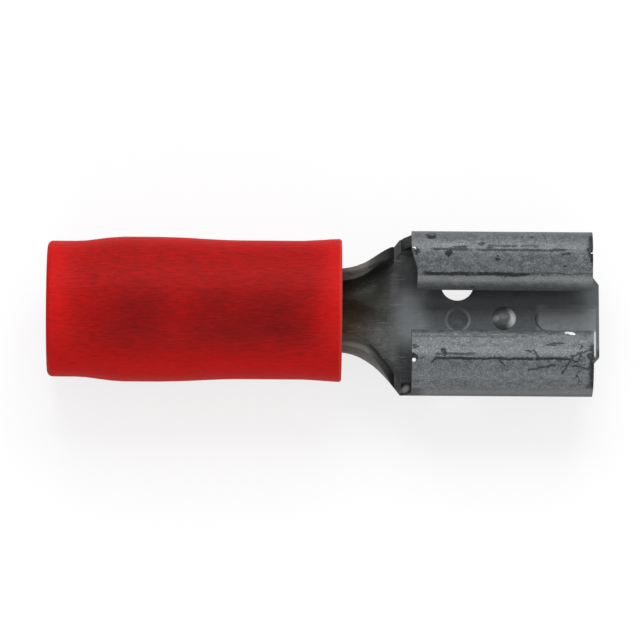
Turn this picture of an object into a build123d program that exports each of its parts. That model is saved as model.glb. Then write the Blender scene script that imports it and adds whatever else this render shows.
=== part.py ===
"""Push-on female crimp connector for a 4.8 x 0.8 mm tab, with a red sleeve over its wire barrel.

X runs along the connector: the wire enters at -X and the tab at +X. Z points up, out of the
open side of the receptacle. The origin is on the barrel's axis, at the barrel's wire mouth.
"""

from build123d import *

import os
from math import asin, cos, degrees, radians, sin, tan

# The tab that the receptacle takes
tab_width = 4.80
tab_thickness = 0.80
tab_side_clearance = 0.02
tab_grip = 0.08  # the unloaded curls stand this much lower than the tab's upper face

# Stamped sheet
sheet = 0.40

# Wire barrel
bore_radius = 1.03
barrel_length = 7.15
seam_gap = 0.05
mouth_chamfer = 0.12

# Open trough and neck between the barrel and the receptacle
trough_wall_top = 0.45  # above the barrel's axis
neck_start = 8.05
neck_length = 2.15
neck_spans = 5
floor_rise = 0.28  # the receptacle's floor lies this much higher than the barrel's lowest line
neck_roll_angle = 120.0  # how far each wall is rolled up at the barrel
neck_root_spread = 35.0  # half the angle of the barrel's bottom that becomes the flat floor
edge_fall_start = 9.00
edge_fall_end = 10.00
edge_above_floor = 0.02

# Receptacle
receptacle_height = 2.10
corner_radius = 0.60
crest_radius = 0.95
curl_slope = 20.0
curl_gap = 1.54  # open width between the two curls
lip_radius = 0.50
curl_back = 10.58
curl_front = 16.74
wall_root_start = 10.24
wall_root_height = 0.45
left_curl_slant = 0.20  # how far the inner end of the +Y curl's back edge leans forward

# Front lip of the floor
lip_reach = 0.27
lip_front_width = 2.56
lip_back_width = 3.16
lead_in_drop = 0.16
lead_in_length = 0.30

# Relief notches at both ends of each curl's crest
notch_width = 0.17
notch_depth = 0.14

# Punched and pressed features of the floor
side_hole_radius = 0.55
side_hole_offset = 1.18
dimple_x = 12.16
dimple_radius = 0.43
dimple_depth = 0.10
detent_x = 13.76
detent_radius = 0.42
detent_height = 0.16
channel_start = 14.80
channel_width = 1.00
channel_depth = 0.10
pressed_edge_angle = 45.0

# Insulating sleeve
sleeve_clearance = 0.03
sleeve_overhang = 1.80  # past the barrel's wire mouth
sleeve_length = 10.00
sleeve_entry_radius = 1.72
sleeve_entry_depth = 1.45
sleeve_funnel_length = 0.30
sleeve_rear_radius = 2.315
sleeve_swell_radius = 2.465
sleeve_waist_radius = 2.365
sleeve_rim_radius = 2.435
sleeve_rear_end = -0.85
sleeve_swell_start = 0.80
sleeve_swell_end = 2.00
sleeve_waist_start = 4.80
sleeve_waist_end = 6.90
sleeve_rear_round = 0.20
sleeve_rim_round = 0.06

# Lines that follow from the sizes above
barrel_radius = bore_radius + sheet
half_width = tab_width / 2 + tab_side_clearance + sheet
floor_bottom = floor_rise - barrel_radius
floor_top = floor_bottom + sheet
curl_top = floor_bottom + receptacle_height
crest_y = half_width - crest_radius
neck_end = neck_start + neck_length
lip_front = curl_front + lip_reach
edge_root = floor_top + edge_above_floor
trough_cap = 2 * trough_wall_top  # the neck is made this high before its edges are cut
seat_radius = barrel_radius + sleeve_clearance
sleeve_back = -sleeve_overhang
sleeve_front = sleeve_back + sleeve_length
clear = 2 * half_width  # longer than any cut through the sheet has to be


def across(face, x):
    """A face drawn with Y to the right and Z up, set square to the length at x."""
    return Plane.YZ.offset(x) * face


def side_cut(outline, width=clear):
    """A prism across the connector, from an outline drawn with X to the right and Z up."""
    return extrude(Plane.XZ * make_face(outline), amount=width, both=True)


def folded_outside():
    """The +Y half of the receptacle's section, as the line of the sheet's outer face."""
    tip_height = floor_top + tab_thickness - tab_grip
    lip_start_y = curl_gap / 2 + lip_radius * (1 - sin(radians(curl_slope)))
    crest_end_y = crest_y - crest_radius * sin(radians(curl_slope))
    slope_length = (crest_end_y - lip_start_y) / cos(radians(curl_slope))
    floor = Line((0, floor_bottom), (half_width - corner_radius, floor_bottom))
    corner = JernArc(floor @ 1, floor % 1, corner_radius, 90)
    wall = Line(corner @ 1, (half_width, curl_top - crest_radius))
    crest = JernArc(wall @ 1, wall % 1, crest_radius, 90 + curl_slope)
    slope = PolarLine(crest @ 1, slope_length, 180 + curl_slope)
    lip = JernArc(slope @ 1, slope % 1, lip_radius, 90 - curl_slope)
    tip = Line(lip @ 1, (curl_gap / 2, tip_height))
    return Curve() + [floor, corner, wall, crest, slope, lip, tip]


def trough_line(share, inset):
    """The +Y half of the neck's section at a share of its length, inset from the outer face.

    A floor arc that flattens out runs into a corner arc that tightens, and on into the wall.
    """
    ease = share * share * (3 - 2 * share)
    half = barrel_radius + (half_width - barrel_radius) * share**2
    bend = barrel_radius + (corner_radius - barrel_radius) * ease
    bottom = floor_rise * ease - barrel_radius
    roll = neck_roll_angle + (90 - neck_roll_angle) * ease
    spread = neck_root_spread
    if ease == 1:
        floor = Line((0, bottom + inset), (half - bend, bottom + inset))
        spread = 0
    else:
        floor_radius = barrel_radius / (1 - ease)
        if ease > 0:
            spread = degrees(asin((half - bend) / (floor_radius - bend)))
        floor = JernArc((0, bottom + inset), (1, 0), floor_radius - inset, spread)
    corner = JernArc(floor @ 1, floor % 1, bend - inset, roll - spread)
    rise = trough_cap - (corner @ 1).Y
    wall = Line(corner @ 1, corner @ 1 + Vector(rise / tan(radians(roll)), rise))
    return [floor, corner, wall]


def trough_face(share):
    """The neck's whole section at a share of its length, as a strip of sheet."""
    outer = trough_line(share, 0)
    inner = trough_line(share, sheet)
    half = [*outer, Line(outer[-1] @ 1, inner[-1] @ 1), *inner]
    return Face(Wire(half + [edge.mirror(Plane.YZ) for edge in half]))


def neck():
    """The sheet between barrel and receptacle: a trough that opens out into the flat floor."""
    stations = [i / neck_spans for i in range(neck_spans + 1)]
    return loft([across(trough_face(s), neck_start + neck_length * s) for s in stations])


def barrel():
    """The rolled wire barrel with its butted seam on top, and the open trough in front of it."""
    wall = Polyline(
        (0, bore_radius + mouth_chamfer),
        (0, barrel_radius),
        (neck_start, barrel_radius),
        (neck_start, bore_radius),
        (mouth_chamfer, bore_radius),
        close=True,
    )
    tube = revolve(Plane.XZ * make_face(wall), Axis.X)
    seam = Pos(neck_start / 2, 0, barrel_radius) * Box(neck_start, seam_gap, 3 * sheet)
    return tube - seam


def receptacle():
    """The floor, walls and curls as one folded strip, with both ends trimmed to shape."""
    strip = make_face(offset(folded_outside(), amount=sheet, side=Side.RIGHT).edges())
    half = extrude(across(strip, neck_end), amount=lip_front - neck_end)
    body = half + mirror(half, about=Plane.XZ)
    return body - front_trim() - curl_slant() - notches()


def front_trim():
    """What is cut off in front of the curls, round the lip of the floor."""
    block = Pos(curl_front + clear / 2, 0, 0) * Box(clear, 2 * clear, 2 * clear)
    lip_outline = Polyline(
        (curl_front - sheet, -lip_back_width / 2),
        (curl_front, -lip_back_width / 2),
        (lip_front, -lip_front_width / 2),
        (lip_front, lip_front_width / 2),
        (curl_front, lip_back_width / 2),
        (curl_front - sheet, lip_back_width / 2),
        close=True,
    )
    lip = extrude(Plane.XY.offset(floor_bottom - sheet) * make_face(lip_outline), 2 * sheet)
    lead_in = side_cut(
        Polyline(
            (lip_front - lead_in_length, floor_top),
            (lip_front, floor_top),
            (lip_front, floor_top - lead_in_drop),
            close=True,
        )
    )
    return block - lip + lead_in


def curl_slant():
    """The wedge that makes the +Y curl's back edge lean forward towards its inner end."""
    outline = Polyline(
        (curl_back - sheet, crest_y),
        (curl_back, crest_y),
        (curl_back + left_curl_slant, curl_gap / 2 + lip_radius),
        (curl_back + left_curl_slant, 0),
        (curl_back - sheet, 0),
        close=True,
    )
    return extrude(Plane.XY.offset(floor_top + sheet / 2) * make_face(outline), clear)


def notches():
    """Small round-ended slots at the back and front ends of both crests."""
    cuts = Part()
    for side in (-1, 1):
        for edge in (curl_back, curl_front):
            slot = SlotCenterToCenter(2 * notch_depth - notch_width, notch_width)
            cuts += extrude(Pos(edge, side * crest_y, 0) * slot, clear)
    return cuts


def edge_cut():
    """What is cut off above the trough, the neck's falling edges and the curls' back ends."""
    wall_top = edge_root + wall_root_height
    fall = Bezier(
        (edge_fall_start, trough_wall_top),
        ((edge_fall_start + edge_fall_end) / 2, trough_wall_top),
        (edge_fall_end, edge_root),
    )
    rest = Polyline(
        (edge_fall_end, edge_root),
        (wall_root_start, edge_root),
        (curl_back, wall_top),
        (curl_back, clear),
        (barrel_length, clear),
        (barrel_length, trough_wall_top),
        (edge_fall_start, trough_wall_top),
    )
    return side_cut((Curve() + [fall, rest]).edges())


def cap_of(radius, height):
    """A spherical cap that stands on the plane Z = 0."""
    ball = (radius**2 + height**2) / (2 * height)
    return Pos(0, 0, height - ball) * Sphere(ball) & Pos(0, 0, ball) * Box(3 * ball, 3 * ball, 2 * ball)


def press(body, x, radius, height):
    """Presses a round dimple into the floor: upwards for a positive height, else downwards."""
    cap = cap_of(radius, abs(height))
    if height < 0:
        cap = Rot(180, 0, 0) * cap
    far_face, near_face = (floor_top, floor_bottom) if height > 0 else (floor_bottom, floor_top)
    return body + Pos(x, 0, far_face) * cap - Pos(x, 0, near_face) * cap


def channel(face_height):
    """The round-nosed lead-in channel, pressed down from a face of the floor."""
    length = lip_front - channel_start
    nose = Pos(channel_width / 2, 0) * Circle(channel_width / 2)
    outline = nose + Pos((length + channel_width / 2) / 2, 0) * Rectangle(
        length - channel_width / 2, channel_width
    )
    sunk = extrude(outline, -channel_depth, taper=pressed_edge_angle)
    return Pos(channel_start, 0, face_height) * sunk


def terminal():
    """The whole stamped and folded terminal as one piece of sheet."""
    above = edge_cut()
    body = (barrel() - above) + (neck() - above) + (receptacle() - above)
    body = press(body, dimple_x, dimple_radius, -dimple_depth)
    body = press(body, detent_x, detent_radius, detent_height)
    body = body + channel(floor_bottom) - channel(floor_top)
    for side in (-1, 1):
        body -= Pos(dimple_x, side * side_hole_offset, floor_bottom) * Cylinder(
            side_hole_radius, 3 * sheet
        )
    return body


def insulating_sleeve():
    """The soft sleeve: a turned wall with a swell over the barrel's rear and a wider wire entry."""
    entry_end = sleeve_back + sleeve_entry_depth
    level = (1, 0)
    rear_round = ThreePointArc(
        (sleeve_back, sleeve_rear_radius - sleeve_rear_round),
        (
            sleeve_back + sleeve_rear_round * (1 - cos(radians(45))),
            sleeve_rear_radius - sleeve_rear_round * (1 - sin(radians(45))),
        ),
        (sleeve_back + sleeve_rear_round, sleeve_rear_radius),
    )
    rear = Line(rear_round @ 1, (sleeve_rear_end, sleeve_rear_radius))
    rise = Spline(rear @ 1, (sleeve_swell_start, sleeve_swell_radius), tangents=[level, level])
    swell = Line(rise @ 1, (sleeve_swell_end, sleeve_swell_radius))
    fall = Spline(swell @ 1, (sleeve_waist_start, sleeve_waist_radius), tangents=[level, level])
    waist = Line(fall @ 1, (sleeve_waist_end, sleeve_waist_radius))
    rim_end = sleeve_front - sleeve_rim_round
    flare = Spline(waist @ 1, (rim_end, sleeve_rim_radius), tangents=[level, level])
    inside = Polyline(
        flare @ 1,
        (sleeve_front, sleeve_rim_radius - sleeve_rim_round),
        (sleeve_front, seat_radius),
        (entry_end + sleeve_funnel_length, seat_radius),
        (entry_end, sleeve_entry_radius),
        (sleeve_back, sleeve_entry_radius),
        rear_round @ 0,
    )
    outline = Curve() + [rear_round, rear, rise, swell, fall, waist, flare, inside]
    return revolve(Plane.XZ * make_face(outline.edges()), Axis.X)


def main():
    os.makedirs("parts", exist_ok=True)
    for name, piece in {"terminal": terminal(), "insulating_sleeve": insulating_sleeve()}.items():
        piece.label = name
        export_step(piece, f"parts/{name}.step")


main()
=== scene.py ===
"""Looks of the push-on crimp connector: tinned terminal and red vinyl sleeve on a pale floor."""

from math import cos, radians, sin

import bmesh
import bpy
from mathutils import Matrix, Vector


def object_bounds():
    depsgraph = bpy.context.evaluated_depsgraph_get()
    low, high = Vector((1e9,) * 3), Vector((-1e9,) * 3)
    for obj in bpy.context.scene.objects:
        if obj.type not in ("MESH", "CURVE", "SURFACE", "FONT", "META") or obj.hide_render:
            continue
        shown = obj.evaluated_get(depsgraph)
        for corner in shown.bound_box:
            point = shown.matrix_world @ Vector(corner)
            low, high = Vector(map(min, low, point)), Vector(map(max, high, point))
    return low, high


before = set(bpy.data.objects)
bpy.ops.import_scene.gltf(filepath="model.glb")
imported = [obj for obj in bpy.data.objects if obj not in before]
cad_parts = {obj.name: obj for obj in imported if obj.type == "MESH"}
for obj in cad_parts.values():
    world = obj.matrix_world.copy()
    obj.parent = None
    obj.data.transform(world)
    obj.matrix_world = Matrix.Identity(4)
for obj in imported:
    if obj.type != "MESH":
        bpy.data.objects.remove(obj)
cad_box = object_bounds()

MM = 0.001
WHITE = (1, 1, 1, 1)

# Camera, from the photograph's scale of 29.4 pixels a millimetre in its 640-pixel frame.
# It stands far off, because the photograph shows almost no perspective.
PIXELS_PER_MM = 29.4
FRAME_PIXELS = 640
SENSOR_MM = 36.0
CAMERA_DISTANCE_MM = 250.0
CAMERA_ELEVATION = 72.0
CAMERA_LEAN = 0.5
CAMERA_ROLL = 0.4
CAMERA_NEAREST_M, CAMERA_FARTHEST_M = 0.001, 10.0
AIM_MM = (7.47, -0.345, 0.0)

# Floor and light. Each lamp has its place and size in millimetres and its power in watts.
FLOOR_SIZE_MM = 2000.0
FLOOR_LIT_SHARE = 0.25
SKY_STRENGTH = 0.55
LAMP_AIM_MM = (8, 0, 0)
LAMPS = {
    "key": ((8, 90, 110), (120, 90), 0.14),
    "fill": ((8, -120, 60), (120, 60), 0.05),
}

# Red vinyl of the sleeve, with painted shade of the barrel inside it and painted light on its thin
# front rim
VINYL = (0.60, 0.0080, 0.0070, 1)
# Painted shade of the barrel inside, on the vinyl's top and bottom and in two patches
VINYL_BARREL_SHADE = (0.42, 0.0048, 0.0042, 1)
VINYL_BARREL_PATCH_SHADE = (0.20, 0.0036, 0.0036, 1)
VINYL_DARK_STREAK = (0.13, 0.0032, 0.0032, 1)
VINYL_PALE_STREAK = (0.66, 0.0110, 0.0090, 1)
VINYL_SPECK = (0.10, 0.0030, 0.0030, 1)
# Painted light through the thin front rim of the vinyl
VINYL_LIT_FRONT_RIM = (0.62, 0.05, 0.04, 1)

# Tin plate of the curls, with a painted lit band on the inner flank of the +Y curl
CURL_DULL, CURL_CLEAN = (0.088, 0.096, 0.102, 1), (0.215, 0.229, 0.236, 1)
CURL_DARK_GRAIN, CURL_PALE_GRAIN = (0.060, 0.065, 0.069, 1), (0.44, 0.457, 0.464, 1)
# Painted light on the inner flank of the +Y curl
CURL_LIT_INNER_FLANK = (0.36, 0.375, 0.38, 1)
CURL_CLOUD = (0.105, 0.112, 0.117, 1)

# Tin plate of the receptacle's floor and what is pressed into it, darker with painted shade from
# the curls, and painted highlights
# Mottled floor plate, darkened by painted shade from the curls
TAB_FLOOR_SHADED_DULL, TAB_FLOOR_SHADED_CLEAN = (0.050, 0.055, 0.059, 1), (0.095, 0.103, 0.109, 1)
TAB_FLOOR_OPEN = (0.17, 0.183, 0.19, 1)
# Painted light on the lead-in
LEAD_IN_LIGHT = (0.185, 0.196, 0.203, 1)
# Painted highlights on the dimple, the detent's front and back and the lip, and painted light over
# the detent
DIMPLE_RING_HIGHLIGHT = (0.27, 0.285, 0.29, 1)
DETENT_LIGHT = (0.13, 0.138, 0.142, 1)
DETENT_FRONT_HIGHLIGHT, DETENT_BACK_HIGHLIGHT = (0.85, 0.87, 0.88, 1), (0.45, 0.46, 0.47, 1)
LIP_HIGHLIGHT = (0.90, 0.91, 0.92, 1)

# Stained plate of the neck and the trough, with painted shade in its corners, at the wall roots and
# beside its cut edges, and a painted glint on the -Y wall root
NECK_DARK, NECK_PALE = (0.030, 0.030, 0.026, 1), (0.066, 0.069, 0.066, 1)
NECK_GRAIN = (0.018, 0.018, 0.016, 1)
BRASS_STAIN_DARK, BRASS_STAIN_PALE = (0.050, 0.022, 0.008, 1), (0.095, 0.060, 0.030, 1)
TROUGH_GREEN, TROUGH_OLIVE = (0.10, 0.105, 0.090, 1), (0.075, 0.055, 0.022, 1)
# Painted shade in the corners behind the walls and beside the neck's cut edges
NECK_CORNER_SHADE = (0.017, 0.018, 0.019, 1)
NECK_SHADE_UNDER_EDGE = (0.020, 0.021, 0.020, 1)
NECK_CUT_EDGE = (0.118, 0.120, 0.106, 1)
# Painted shade at the wall roots, and a painted glint on the -Y wall root
WALL_ROOT_SHADE, WALL_ROOT_GLINT = (0.030, 0.031, 0.030, 1), (0.50, 0.51, 0.51, 1)

# Dark of cracks and blotches, and of the painted shade in the notches
CRACK_AND_NOTCH_SHADE = (0.010, 0.011, 0.012, 1)
SCRATCH = (0.34, 0.35, 0.36, 1)

# Places in millimetres
DIMPLE_RING_AT = (12.18, -0.05)
DETENT_AT, DETENT_BACK_AT = (13.76, 0.0), (13.47, -0.03)
# Place of the painted glint on the -Y wall root
WALL_ROOT_GLINT_AT = (10.38, -2.62)
TROUGH_GREEN_AT, TROUGH_OLIVE_AT = (8.95, 1.0), (8.60, -0.85)
# Place of the painted glint on the -Y curl's fold
FOLD_GLINT_AT = (15.97, -0.97)
NOTCH_GLINTS_AT = ((10.65, 1.92), (10.65, -2.04))

# Dark lines that run along the folds, cracks at the crests and lines at the inner creases: Y, half
# the width, first and last X, how broken, how dark
FOLD_LINES = (
    (-1.98, 0.014, 11.5, 15.9, 0.30, 1.0),
    (1.95, 0.045, 12.1, 13.2, 0.36, 0.8),
    (1.90, 0.006, 11.4, 15.7, 0.30, 0.8),
    (2.05, 0.004, 12.8, 14.8, 0.38, 0.5),
    # The lines at Y 1.10, 1.12 and -1.12 run along the inner creases
    (1.10, 0.028, 11.1, 14.5, 0.30, 1.0),
    (1.12, 0.004, 14.5, 16.6, 0.30, 0.6),
    (-1.12, 0.006, 10.7, 15.0, 0.38, 0.3),
    (-1.82, 0.006, 11.4, 12.6, 0.42, 0.7),
)

# Short slanting cracks of the -Y curl, each from one point to another
SIDE_CRACKS = (
    ((13.36, -1.89), (13.72, -2.20)),
    ((14.69, -1.65), (14.87, -1.94)),
    ((16.07, -1.85), (15.67, -2.43)),
    ((15.99, -1.89), (16.60, -1.64)),
    ((16.02, -2.22), (16.65, -2.30)),
    ((14.52, -2.34), (15.41, -2.20)),
    ((11.49, -1.95), (11.25, -2.12)),
)

# Dark blotches on the curls, and painted shade in the notches at both ends of each curl: X, Y and
# radius
BLOTCHES_AND_NOTCH_SHADE = (
    (11.22, 2.42, 0.20), (11.85, 1.80, 0.15), (11.67, -1.76, 0.13), (16.64, 1.90, 0.15),
    (16.64, -1.90, 0.18), (10.72, -1.98, 0.16), (10.72, 1.86, 0.16), (13.45, 1.62, 0.10),
)


def place_camera():
    """The camera stands on the -Y side, high up and a little towards the wire's end."""
    aim = Vector(AIM_MM) * MM
    elevation, lean = radians(CAMERA_ELEVATION), radians(CAMERA_LEAN)
    away = Vector((-sin(lean), -cos(elevation) * cos(lean), sin(elevation) * cos(lean)))
    right = (Vector((1, 0, 0)) - away * away.x).normalized()
    up = away.cross(right)
    data = bpy.data.cameras.new("camera")
    data.sensor_width = SENSOR_MM
    data.lens = PIXELS_PER_MM * SENSOR_MM / FRAME_PIXELS * CAMERA_DISTANCE_MM
    data.clip_start, data.clip_end = CAMERA_NEAREST_M, CAMERA_FARTHEST_M
    camera = bpy.data.objects.new("camera", data)
    bpy.context.scene.collection.objects.link(camera)
    turn = Matrix((right, up, away)).transposed().to_4x4()
    roll = Matrix.Rotation(radians(CAMERA_ROLL), 4, "Z")
    camera.matrix_world = Matrix.Translation(aim + away * CAMERA_DISTANCE_MM * MM) @ turn @ roll
    bpy.context.scene.camera = camera


def hang_lamp(name, place_mm, size_mm, power):
    """A soft rectangular lamp, turned towards the connector."""
    data = bpy.data.lights.new(name, "AREA")
    data.shape = "RECTANGLE"
    data.size, data.size_y = (edge * MM for edge in size_mm)
    data.energy = power
    lamp = bpy.data.objects.new(name, data)
    bpy.context.scene.collection.objects.link(lamp)
    place, aim = Vector(place_mm) * MM, Vector(LAMP_AIM_MM) * MM
    turn = (aim - place).to_track_quat("-Z", "Y").to_matrix().to_4x4()
    lamp.matrix_world = Matrix.Translation(place) @ turn


class Nodes:
    """The nodes of a finish or of the sky, with short calls for those that are used often."""

    def __init__(self, tree):
        self.tree = tree
        tree.nodes.clear()

    def add(self, kind, inputs=None, **settings):
        """A new node. An input takes another node's output or a plain value."""
        node = self.tree.nodes.new(kind)
        for key, value in settings.items():
            setattr(node, key, value)
        for key, value in (inputs or {}).items():
            if isinstance(value, bpy.types.NodeSocket):
                self.tree.links.new(value, node.inputs[key])
            else:
                node.inputs[key].default_value = value
        return node

    def math(self, operation, a, b=0.0, clamp=False):
        inputs = {0: a, 1: b}
        node = self.add("ShaderNodeMath", inputs, operation=operation, use_clamp=clamp)
        return node.outputs[0]

    def plus(self, a, b):
        return self.math("ADD", a, b)

    def minus(self, a, b):
        return self.math("SUBTRACT", a, b)

    def times(self, a, b, clamp=False):
        return self.math("MULTIPLY", a, b, clamp)

    def larger(self, a, b):
        return self.math("MAXIMUM", a, b)

    def unsigned(self, a):
        return self.math("ABSOLUTE", a)

    def ramp(self, value, low, high, from_value=0.0, to_value=1.0):
        """from_value up to low, to_value past high, eased between; high may be the lower one."""
        if high < low:
            low, high, from_value, to_value = high, low, to_value, from_value
        inputs = {
            "Value": value, "From Min": low, "From Max": high,
            "To Min": from_value, "To Max": to_value,
        }
        node = self.add("ShaderNodeMapRange", inputs, interpolation_type="SMOOTHSTEP")
        return node.outputs["Result"]

    def band(self, value, low, high, soft):
        """1 where value lies from low to high, fading to 0 over soft on either side."""
        rise = self.ramp(value, low - soft, low)
        return self.times(rise, self.ramp(value, high, high + soft, 1.0, 0.0))

    def distance(self, x, y, middle_x, middle_y):
        """Distance of a point from an upright line, in millimetres."""
        across, along = self.minus(x, middle_x), self.minus(y, middle_y)
        squares = self.plus(self.times(across, across), self.times(along, along))
        return self.math("SQRT", squares)

    def place_mm(self, stretch=(1, 1, 1)):
        """The point on the object in millimetres, with each axis shortened by its stretch."""
        coordinates = self.add("ShaderNodeTexCoord").outputs["Object"]
        scale = [1 / MM / axis for axis in stretch]
        return self.add("ShaderNodeMapping", {"Vector": coordinates, "Scale": scale}).outputs[0]

    def axes(self):
        """X, Y and Z of the point on the object in millimetres."""
        return self.add("ShaderNodeSeparateXYZ", {0: self.place_mm()}).outputs

    def noise(self, scale, detail=3.0, roughness=0.5, stretch=(1, 1, 1)):
        """Random grey, with scale patches a millimetre, drawn out by stretch."""
        where = self.place_mm(stretch)
        inputs = {"Vector": where, "Scale": scale, "Detail": detail, "Roughness": roughness}
        return self.add("ShaderNodeTexNoise", inputs).outputs["Fac"]

    def mix(self, share, first, second):
        """The first colour, turning into the second as share goes from 0 to 1."""
        node = self.add("ShaderNodeMix", {0: share, 6: first, 7: second}, data_type="RGBA")
        return node.outputs[2]

    def finish(self, shader):
        self.add("ShaderNodeOutputMaterial", {"Surface": shader.outputs[0]})


def new_finish(name):
    material = bpy.data.materials.new(name)
    material.use_nodes = True
    return material, Nodes(material.node_tree)


def floor_material():
    """White to the camera and in reflections, with the object's shadow kept at part strength."""
    material, n = new_finish("floor_white")
    path = n.add("ShaderNodeLightPath").outputs
    seen = n.larger(path["Is Camera Ray"], path["Is Glossy Ray"])
    seen = n.larger(seen, path["Is Transmission Ray"])
    lit_colour = (FLOOR_LIT_SHARE, FLOOR_LIT_SHARE, FLOOR_LIT_SHARE, 1)
    lit = n.add("ShaderNodeBsdfDiffuse", {"Color": lit_colour})
    strength = n.times(seen, 1 - FLOOR_LIT_SHARE)
    glow = n.add("ShaderNodeEmission", {"Color": WHITE, "Strength": strength})
    n.finish(n.add("ShaderNodeAddShader", {0: lit.outputs[0], 1: glow.outputs[0]}))
    return material


def lay_floor():
    mesh = bpy.data.meshes.new("floor")
    bm = bmesh.new()
    bmesh.ops.create_grid(bm, x_segments=1, y_segments=1, size=FLOOR_SIZE_MM / 2 * MM)
    bmesh.ops.translate(bm, vec=(0, 0, cad_box[0][2]), verts=bm.verts)
    bm.to_mesh(mesh)
    bm.free()
    floor = bpy.data.objects.new("floor", mesh)
    bpy.context.scene.collection.objects.link(floor)
    floor.data.materials.append(floor_material())


def light_sky():
    """White to the camera, and a softer white as light."""
    world = bpy.data.worlds.new("studio")
    bpy.context.scene.world = world
    world.use_nodes = True
    n = Nodes(world.node_tree)
    path = n.add("ShaderNodeLightPath").outputs
    strength = n.larger(path["Is Camera Ray"], SKY_STRENGTH)
    sky = n.add("ShaderNodeBackground", {"Color": WHITE, "Strength": strength})
    n.add("ShaderNodeOutputWorld", {"Surface": sky.outputs[0]})


def barrel_shadow(n, x, y, z, barrel_shade_mask):
    """How much painted shade the barrel casts on the vinyl: two patches, beside a line near the
    sleeve's top.
    """
    tilted = n.plus(n.times(y, 0.95), n.times(z, 0.31))
    beside = n.unsigned(n.plus(tilted, 0.30))
    rear = n.ramp(n.distance(x, n.times(beside, 1.1), 1.35, 0.0), 1.9, 0.3)
    front = n.times(n.band(x, 4.2, 6.0, 1.9), n.ramp(beside, 1.7, 0.3, 0.0, 0.92))
    patches = n.plus(n.larger(n.times(rear, 0.75), front), 0.16)
    uneven = n.ramp(n.noise(0.9, 3.0, 0.6, stretch=(1.6, 1, 1)), 0.3, 0.7, 0.55, 1.0)
    return n.times(n.times(barrel_shade_mask, uneven), patches, clamp=True)


def vinyl_material():
    """Red soft vinyl: painted shade of the barrel inside darkens its top, bottom and patches, the
    thin ends are lighter, and the front rim has painted light.
    """
    material, n = new_finish("red_vinyl")
    x, y, z = n.axes()
    away_from_ends = n.times(n.ramp(x, -1.75, -0.2), n.ramp(x, 8.2, 6.9))
    # Painted shade of the barrel inside: darkest on the top and bottom, none at the ends
    barrel_shade_mask = n.times(n.ramp(n.unsigned(z), 0.6, 2.3), away_from_ends)
    tone = n.mix(barrel_shade_mask, VINYL, VINYL_BARREL_SHADE)
    # Painted shade of the barrel in two patches
    tone = n.mix(barrel_shadow(n, x, y, z, barrel_shade_mask), tone, VINYL_BARREL_PATCH_SHADE)
    streaks = n.noise(19.0, 3.0, 0.7, stretch=(7, 1, 1))
    dark = n.times(n.ramp(streaks, 0.42, 0.66, 0.0, 0.45), n.ramp(barrel_shade_mask, 0.0, 1.0, 0.55, 1.0))
    tone = n.mix(dark, tone, VINYL_DARK_STREAK)
    tone = n.mix(n.ramp(streaks, 0.46, 0.28, 0.0, 0.22), tone, VINYL_PALE_STREAK)
    specks = n.noise(7.0, 2.0, 0.6, stretch=(2.5, 1, 1))
    tone = n.mix(n.ramp(specks, 0.66, 0.78, 0.0, 0.40), tone, VINYL_SPECK)
    # Painted light through the thin front rim
    tone = n.mix(n.ramp(x, 8.08, 8.18), tone, VINYL_LIT_FRONT_RIM)
    bump = n.add("ShaderNodeBump", {"Strength": 0.3, "Distance": 0.015 * MM, "Height": streaks})
    inputs = {
        "Base Color": tone, "Roughness": 0.6, "Normal": bump.outputs[0],
        "Subsurface Weight": 0.15, "Subsurface Scale": 0.3 * MM,
        "Subsurface Radius": (1.0, 0.05, 0.05), "Specular IOR Level": 0.09,
    }
    n.finish(n.add("ShaderNodeBsdfPrincipled", inputs))
    return material


def curl_tone(n, y, mottle, clouds, grain):
    """Mottled and grainy plate of the walls and curls, with a painted lit band on the inner flank
    where +Y's rolls in.
    """
    tone = n.mix(n.ramp(mottle, 0.36, 0.64), CURL_DULL, CURL_CLEAN)
    tone = n.mix(n.ramp(grain, 0.43, 0.62, 0.0, 0.58), tone, CURL_DARK_GRAIN)
    tone = n.mix(n.ramp(grain, 0.47, 0.28, 0.0, 0.60), tone, CURL_PALE_GRAIN)
    # Painted light on the inner flank of the +Y curl
    tone = n.mix(n.times(n.band(y, 0.45, 1.0, 0.1), 0.25), tone, CURL_LIT_INNER_FLANK)
    return n.mix(n.times(n.ramp(clouds, 0.4, 0.7), 0.35), tone, CURL_CLOUD)


def tab_floor_tone(n, x, y, mottle):
    """Floor plate under the tab, darker than the curls with painted shade from them, paler on +Y
    and at the open back, with painted light on the lead-in.
    """
    # Painted shade from the curls over the floor, on mottled plate
    tone = n.mix(n.ramp(mottle, 0.35, 0.65), TAB_FLOOR_SHADED_DULL, TAB_FLOOR_SHADED_CLEAN)
    open_part = n.larger(n.ramp(y, 0.1, 0.7), n.ramp(x, 11.5, 10.9, 0.0, 0.9))
    tone = n.mix(n.times(open_part, 0.6), tone, TAB_FLOOR_OPEN)
    # Painted light on the lead-in
    lit_lead_in = n.times(n.ramp(x, 14.8, 15.0), n.band(y, -1.0, 0.45, 0.1))
    return n.mix(n.times(lit_lead_in, 0.85), tone, LEAD_IN_LIGHT)


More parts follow.
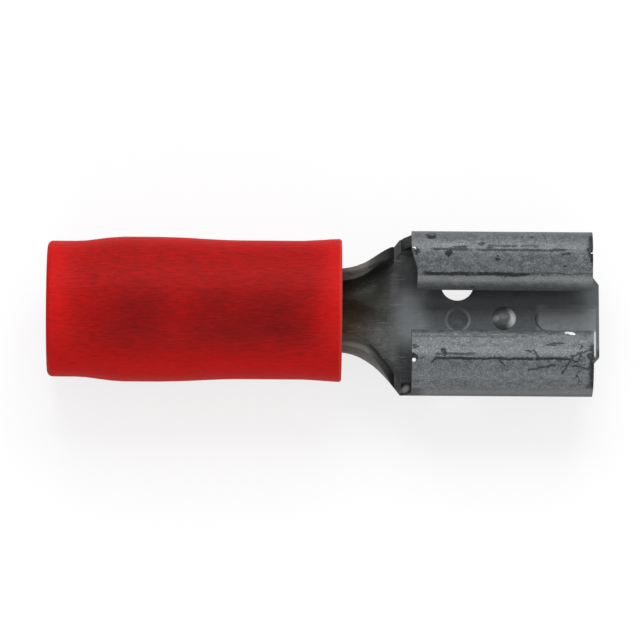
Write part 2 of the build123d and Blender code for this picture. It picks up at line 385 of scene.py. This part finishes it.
def neck_tone(n, x, y, clouds, grain):
    """Dark stained plate of the neck, browner in the trough by the barrel."""
    tone = n.mix(n.ramp(clouds, 0.35, 0.65), NECK_DARK, NECK_PALE)
    tone = n.mix(n.ramp(grain, 0.42, 0.62, 0.0, 0.45), tone, NECK_GRAIN)
    stain = n.mix(n.ramp(clouds, 0.3, 0.7), BRASS_STAIN_DARK, BRASS_STAIN_PALE)
    tone = n.mix(n.ramp(x, 8.2, 9.5), stain, tone)
    green = n.ramp(n.distance(x, y, *TROUGH_GREEN_AT), 0.60, 0.15, 0.0, 0.5)
    tone = n.mix(green, tone, TROUGH_GREEN)
    olive = n.ramp(n.distance(x, y, *TROUGH_OLIVE_AT), 0.50, 0.15, 0.0, 0.5)
    return n.mix(olive, tone, TROUGH_OLIVE)


def neck_edges_shade_and_glint(n, x, y, z, tone):
    """Painted shade in the corners behind the walls, at the wall roots and beside the neck's pale
    cut edges, and a painted glint on the -Y wall root.
    """
    beside = n.unsigned(y)
    # Painted shade in the corners behind the walls
    corner = n.times(n.ramp(beside, 0.45, 1.35), n.band(x, 10.25, 10.75, 0.40))
    corner = n.times(corner, n.ramp(z, 0.3, 0.0))
    tone = n.mix(n.times(corner, 0.88), tone, NECK_CORNER_SHADE)
    inset = n.minus(n.ramp(x, 8.4, 11.3, 1.42, 2.80), beside)
    # Painted shade beside the neck's cut edges
    shade_under_edge = n.times(n.band(inset, 0.24, 0.50, 0.14), n.band(x, 8.2, 10.50, 0.1))
    tone = n.mix(n.times(shade_under_edge, 0.7), tone, NECK_SHADE_UNDER_EDGE)
    cut_edge = n.times(n.ramp(inset, 0.22, 0.06), n.band(x, 8.2, 9.70, 0.25))
    tone = n.mix(n.times(cut_edge, 0.8), tone, NECK_CUT_EDGE)
    # Painted shade at the wall roots
    wall_root_shade = n.times(n.ramp(beside, 1.5, 1.8), n.band(x, 9.97, 10.25, 0.03))
    tone = n.mix(n.times(wall_root_shade, 0.75), tone, WALL_ROOT_SHADE)
    # Painted glint on the -Y wall root's cut edge
    root_glint = n.ramp(n.distance(x, y, *WALL_ROOT_GLINT_AT), 0.18, 0.06)
    return n.mix(n.times(root_glint, 0.6), tone, WALL_ROOT_GLINT)


def floor_highlights(n, x, y, tone):
    """Painted highlights on the floor: a pale ring on the dimple, painted light over the detent
    with a bright front and a pale back spot, a bright lip.
    """
    # Painted highlight on the dimple's sides
    ring_highlight = n.band(n.distance(x, y, *DIMPLE_RING_AT), 0.37, 0.41, 0.05)
    ring_highlight = n.times(ring_highlight, n.ramp(n.unsigned(n.minus(x, DIMPLE_RING_AT[0])), 0.0, 0.40))
    tone = n.mix(n.times(ring_highlight, 0.55), tone, DIMPLE_RING_HIGHLIGHT)
    from_detent = n.distance(x, y, *DETENT_AT)
    # Painted light over the detent, in place of its shading
    tone = n.mix(n.ramp(from_detent, 0.46, 0.36), tone, DETENT_LIGHT)
    # Painted highlight on the detent's front
    front = n.times(n.band(from_detent, 0.24, 0.36, 0.07), n.ramp(x, 13.78, 14.10))
    tone = n.mix(n.times(front, 0.95), tone, DETENT_FRONT_HIGHLIGHT)
    # Painted highlight on the detent's back
    back_highlight = n.ramp(n.distance(x, y, *DETENT_BACK_AT), 0.17, 0.05)
    tone = n.mix(n.times(back_highlight, 0.6), tone, DETENT_BACK_HIGHLIGHT)
    # Painted highlight along the lip
    lip_highlight = n.times(n.band(x, 16.84, 16.88, 0.03), n.band(y, -1.25, -0.50, 0.15))
    return n.mix(n.times(lip_highlight, 0.8), tone, LIP_HIGHLIGHT)


def fold_line(n, x, y, middle, half_width, start, end, gaps):
    """A ragged, broken line along a fold, where Y is near its middle, from start to end."""
    wobble = n.noise(3.4, 6.0, 0.85, stretch=(2, 1, 1))
    shifted = n.plus(y, n.times(n.minus(wobble, 0.5), 0.24))
    line = n.band(shifted, middle - half_width, middle + half_width, 0.05)
    breaks = n.ramp(n.noise(1.7, 2.0, 0.6, stretch=(1, 9, 9)), gaps - 0.04, gaps + 0.06)
    return n.times(n.times(line, n.band(x, start, end, 0.25)), breaks)


def side_crack(n, x, y, start, end):
    """A short fine crack that leaves the long ones at a slant."""
    wobble = n.times(n.minus(n.noise(5.0, 4.0, 0.7), 0.5), 0.22)
    across, along = n.minus(x, start[0]), n.minus(n.plus(y, wobble), start[1])
    run_x, run_y = end[0] - start[0], end[1] - start[1]
    reach = n.plus(n.times(across, run_x), n.times(along, run_y))
    share = n.math("DIVIDE", reach, run_x**2 + run_y**2, clamp=True)
    off = n.distance(across, along, n.times(share, run_x), n.times(share, run_y))
    return n.ramp(off, 0.045, 0.012, 0.0, 0.8)


def crazing(n, x, y):
    """A net of hairline cracks near the front end of the -Y curl."""
    warp_inputs = {"Vector": n.place_mm(), "Scale": 2.6, "Detail": 3.0}
    warp = n.add("ShaderNodeTexNoise", warp_inputs).outputs["Color"]
    bent = n.add("ShaderNodeVectorMath", {0: n.place_mm(), 1: warp}, operation="ADD").outputs[0]
    net_inputs = {"Vector": bent, "Scale": 1.25}
    net = n.add("ShaderNodeTexVoronoi", net_inputs, feature="DISTANCE_TO_EDGE")
    patch = n.times(n.ramp(x, 15.2, 15.9), n.band(y, -2.65, -1.5, 0.15))
    thinned = n.ramp(n.noise(1.6, 2.0), 0.42, 0.55)
    return n.times(n.ramp(net.outputs["Distance"], 0.028, 0.008), n.times(patch, thinned))


def front_fringe(n, x, y):
    """Broken dark plating at the front ends of both curls."""
    front = n.times(n.ramp(x, 16.52, 16.66), n.band(n.unsigned(y), 1.5, 2.75, 0.2))
    return n.times(front, n.ramp(n.noise(3.3, 4.0, 0.7), 0.40, 0.50))


def curl_marks_and_notch_shade(n, x, y, z):
    """How dark the cracks, fold lines, blotches, pits, crazing and painted notch shade of the curls
    are at a point.
    """
    marks = crazing(n, x, y)
    for *line, strength in FOLD_LINES:
        marks = n.larger(marks, n.times(fold_line(n, x, y, *line), strength))
    for start, end in SIDE_CRACKS:
        marks = n.larger(marks, side_crack(n, x, y, start, end))
    pits = n.ramp(n.noise(3.1, 3.0, 0.6, stretch=(1.8, 1, 1)), 0.655, 0.70)
    marks = n.larger(marks, n.times(pits, 0.75))
    rough_edge = n.ramp(n.noise(6.0), 0.3, 0.7, -0.05, 0.09)
    # Blotches, and painted shade in the notches at the curls' ends
    for spot_x, spot_y, radius in BLOTCHES_AND_NOTCH_SHADE:
        ragged = n.plus(n.distance(x, y, spot_x, spot_y), rough_edge)
        marks = n.larger(marks, n.ramp(ragged, radius, radius * 0.6))
    marks = n.larger(marks, front_fringe(n, x, y))
    return n.times(marks, n.ramp(z, 0.0, 0.35))


def painted_glints(n, x, y, z):
    """Small painted highlights: an irregular glint on the -Y curl's fold, two glints at the notches
    behind the walls.
    """
    fold_x, fold_y = FOLD_GLINT_AT
    slanted = n.plus(y, n.times(n.minus(x, fold_x), 0.22))
    fold_glint = n.distance(n.times(x, 0.42), slanted, fold_x * 0.42, fold_y)
    grainy = n.plus(fold_glint, n.ramp(n.noise(7.0, 2.0, 0.6), 0.3, 0.7, -0.03, 0.03))
    spots = n.ramp(grainy, 0.085, 0.055)
    for spot_x, spot_y in NOTCH_GLINTS_AT:
        spots = n.larger(spots, n.ramp(n.distance(x, y, spot_x, spot_y), 0.085, 0.04))
    return n.times(spots, n.ramp(z, 0.0, 0.35))


def tin_material():
    """Dull tin plate on brass: cool grey, mottled and cracked at the folds, stained at the neck,
    with painted shade in its hollows and painted highlights.
    """
    material, n = new_finish("tin_plate")
    x, y, z = n.axes()
    mottle = n.noise(5.0, 6.0, 0.8)
    clouds = n.noise(1.3, 3.0, 0.6, stretch=(2, 1, 1))
    grain = n.noise(19.0, 4.0, 0.8)
    curls = curl_tone(n, y, mottle, clouds, grain)
    tone = n.mix(n.ramp(z, -0.7, -0.2), tab_floor_tone(n, x, y, mottle), curls)
    tone = n.mix(n.ramp(x, 9.7, 10.6), neck_tone(n, x, y, clouds, grain), tone)
    tone = neck_edges_shade_and_glint(n, x, y, z, tone)
    # Painted highlights and painted light on the dimple, detent and lip
    tone = n.mix(n.ramp(z, -0.35, -0.55), tone, floor_highlights(n, x, y, tone))
    marks = curl_marks_and_notch_shade(n, x, y, z)
    # Cracks, blotches and pits, and painted shade in the notches
    tone = n.mix(n.times(marks, 0.92), tone, CRACK_AND_NOTCH_SHADE)
    scratches = n.noise(16.0, 3.0, 0.7, stretch=(14, 1, 1))
    tone = n.mix(n.ramp(scratches, 0.58, 0.75, 0.0, 0.3), tone, SCRATCH)
    # Painted glints in white
    tone = n.mix(painted_glints(n, x, y, z), tone, WHITE)
    height = n.minus(n.times(mottle, 0.45), marks)
    bump = n.add("ShaderNodeBump", {"Strength": 0.7, "Distance": 0.03 * MM, "Height": height})
    rough = n.ramp(mottle, 0.3, 0.7, 0.45, 0.62)
    inputs = {"Base Color": tone, "Metallic": 0.6, "Roughness": rough, "Normal": bump.outputs[0]}
    n.finish(n.add("ShaderNodeBsdfPrincipled", inputs))
    return material


def dress(node, material):
    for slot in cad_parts[node].material_slots:
        slot.material = material


place_camera()
lay_floor()
light_sky()
for lamp_name, lamp_values in LAMPS.items():
    hang_lamp(lamp_name, *lamp_values)
dress("terminal", tin_material())
dress("insulating_sleeve", vinyl_material())
bpy.context.scene.view_settings.view_transform = "Standard"
